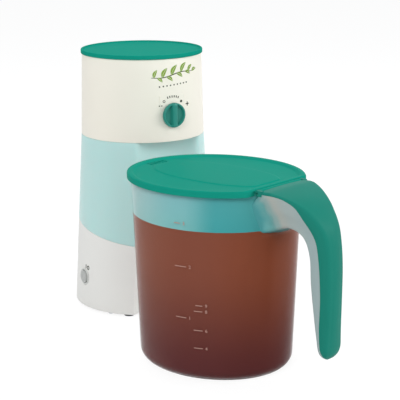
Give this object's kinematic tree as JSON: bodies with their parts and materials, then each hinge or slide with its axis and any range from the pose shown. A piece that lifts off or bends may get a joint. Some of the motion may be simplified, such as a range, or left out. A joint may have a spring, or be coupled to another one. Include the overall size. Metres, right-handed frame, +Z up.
{
  "type": "iced tea maker",
  "caption": "Round tapered electric tea brewer with a strength knob and lift-off basket, beside an oval handled pitcher with a hinged lid that it fills.",
  "frame": {"origin": "on the counter, on the brewer's upright axis, at the underside of its centre foot", "axes": "+Z up; -Y is the brewer's front, with the strength knob, the spout and the dock; -X is the side with the power button"},
  "size_m": [0.2018, 0.4453, 0.292],
  "materials": {
    "grey_shell": "satin moulded light grey",
    "tank_aqua": "frosted clear aqua plastic",
    "white_shell": "glossy moulded cream white",
    "teal": "glossy moulded teal green",
    "pitcher_clear": "frosted clear plastic",
    "dark_rubber": "matt black rubber",
    "silicone": "matt translucent silicone",
    "steel": "plated steel",
    "stainless": "polished stainless steel",
    "aluminium": "as die cast",
    "inner_plastic": "plain moulded white",
    "black_plastic": "plain moulded black",
    "element_sheath": "dull sheath",
    "wire_sleeve": "braided glass sleeve",
    "button_grey": "satin grey"
  },
  "bodies": {
    "brewer": {"base_housing": "grey_shell", "base_plate": "inner_plastic", "rubber_feet": "dark_rubber", "base_screws": "steel", "switch_bezel": "grey_shell", "button_spring": "steel", "switch_body": "black_plastic", "switch_bracket": "steel", "bracket_screws": "steel", "heater_block": "aluminium", "water_tube": "stainless", "heating_element": "element_sheath", "heater_posts": "steel", "heater_screws": "steel", "thermostat": "black_plastic", "thermal_fuse": "inner_plastic", "inlet_hose": "silicone", "riser_hose": "silicone", "hose_clamps": "steel", "outlet_seal": "silicone", "outlet_fitting": "inner_plastic", "outlet_nut": "inner_plastic", "duckbill_valve": "silicone", "riser_grommet": "silicone", "riser_tube": "stainless", "reservoir": "tank_aqua", "cord_gland": "black_plastic", "terminal_block": "inner_plastic", "lead_wires": "wire_sleeve"},
    "button": {"power_button": "button_grey"},
    "basket": {"steeping_basket": "white_shell", "shaft_seal": "silicone"},
    "knob": {"strength_knob": "teal", "knob_shaft": "stainless", "valve_disc": "inner_plastic", "shaft_clip": "stainless"},
    "basket_cover": {"basket_lid": "teal", "water_spreader": "white_shell"},
    "pitcher": {"pitcher_body": "pitcher_clear", "handle_cover": "teal", "handle_screws": "steel", "hinge_pin": "stainless"},
    "lid": {"pitcher_lid": "teal"}
  },
  "joints": [
    {"name": "power_push", "type": "slide", "parent": "brewer", "child": "button", "axis": [1, 0, 0], "range_m": [0, 0.0025], "stiffness_N_per_m": 300, "springref_m": -0.003, "deforming": ["button_spring"]},
    {"name": "basket_lift", "type": "slide", "parent": "brewer", "child": "basket", "axis": [0, 0, 1], "range_m": [0, 0.12]},
    {"name": "strength_turn", "type": "hinge", "parent": "basket", "child": "knob", "pos_m": [0, -0.0685, 0.226], "axis": [0, 1, 0], "range_deg": [-32, 39]},
    {"name": "cover_lift", "type": "slide", "parent": "basket", "child": "basket_cover", "axis": [0, 0, 1], "range_m": [0, 0.08]},
    {"name": "pitcher_lift", "type": "slide", "parent": "brewer", "child": "pitcher", "axis": [0, 0, 1], "range_m": [0, 0.3]},
    {"name": "lid_hinge", "type": "hinge", "parent": "pitcher", "child": "lid", "pos_m": [-0.01417, -0.29494, 0.1916], "axis": [0.9563, 0.2924, 0], "range_deg": [0, 95]}
  ]
}
